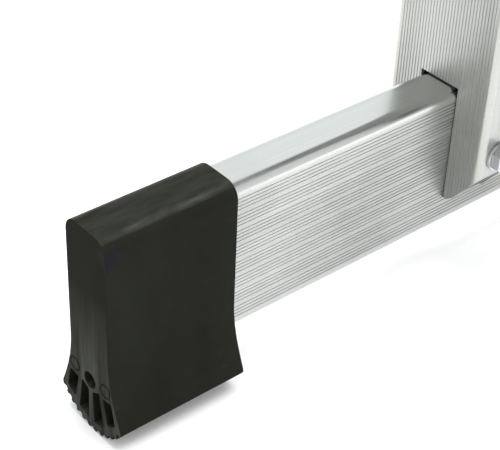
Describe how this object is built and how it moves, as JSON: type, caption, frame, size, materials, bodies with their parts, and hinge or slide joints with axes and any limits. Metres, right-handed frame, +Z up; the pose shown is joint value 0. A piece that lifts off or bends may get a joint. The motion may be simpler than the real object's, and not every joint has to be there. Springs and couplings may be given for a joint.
{
  "type": "extension ladder",
  "caption": "Two-section aluminium extension ladder with a wide stabiliser bar, rubber rocker feet and sprung rung latches.",
  "frame": {"origin": "on the floor under the middle of the closed, upright ladder", "axes": "+X to the right along the rungs, +Y to the wall side, +Z up; the climber is on the -Y side"},
  "size_m": [0.854, 0.146, 2.6441],
  "materials": {
    "aluminium": "extruded mill finish",
    "foot_rubber": "moulded, satin",
    "black_plastic": "moulded",
    "zinc_steel": "zinc plated",
    "fastener_steel": "bright zinc",
    "latch_steel": "grey painted",
    "spring_steel": "bright wire"
  },
  "bodies": {
    "base_section": {"stabiliser_bar": "aluminium", "left_foot_cap": "foot_rubber", "right_foot_cap": "foot_rubber", "left_base_stile": "aluminium", "right_base_stile": "aluminium", "base_rungs": "aluminium", "left_base_plug": "black_plastic", "right_base_plug": "black_plastic", "left_base_top_cap": "black_plastic", "right_base_top_cap": "black_plastic", "bar_bolts": "fastener_steel", "bar_washers": "fastener_steel", "bar_nuts": "fastener_steel", "left_top_guide": "zinc_steel", "right_top_guide": "zinc_steel", "left_top_liner": "black_plastic", "right_top_liner": "black_plastic", "top_guide_rivets": "fastener_steel", "left_landing_bracket": "zinc_steel", "right_landing_bracket": "zinc_steel", "landing_rivets": "fastener_steel", "travel_stops": "black_plastic", "travel_stop_rivets": "fastener_steel"},
    "fly_section": {"left_fly_stile": "aluminium", "right_fly_stile": "aluminium", "fly_rungs": "aluminium", "left_fly_shoe": "foot_rubber", "right_fly_shoe": "foot_rubber", "left_fly_top_cap": "black_plastic", "right_fly_top_cap": "black_plastic", "left_lower_guide": "zinc_steel", "right_lower_guide": "zinc_steel", "left_lower_liner": "black_plastic", "right_lower_liner": "black_plastic", "lower_guide_rivets": "fastener_steel", "left_latch_bracket": "zinc_steel", "right_latch_bracket": "zinc_steel", "latch_rivets": "fastener_steel", "left_latch_pin": "fastener_steel", "right_latch_pin": "fastener_steel", "latch_stop_pins": "fastener_steel"},
    "left_latch_arm": {"left_latch": "latch_steel", "left_latch_spring": "spring_steel"},
    "right_latch_arm": {"right_latch": "latch_steel", "right_latch_spring": "spring_steel"}
  },
  "joints": [
    {"name": "fly_slide", "type": "slide", "parent": "base_section", "child": "fly_section", "axis": [0, 0, 1], "range_m": [0, 1.54]},
    {"name": "left_latch_swing", "type": "hinge", "parent": "fly_section", "child": "left_latch_arm", "pos_m": [-0.142, -0.0029, 0.254], "axis": [-1, 0, 0], "range_deg": [0, 72], "stiffness_Nm_per_rad": 0.15, "springref_deg": -34.38},
    {"name": "right_latch_swing", "type": "hinge", "parent": "fly_section", "child": "right_latch_arm", "pos_m": [0.142, -0.0029, 0.254], "axis": [-1, 0, 0], "range_deg": [0, 72], "stiffness_Nm_per_rad": 0.15, "springref_deg": -34.38}
  ]
}
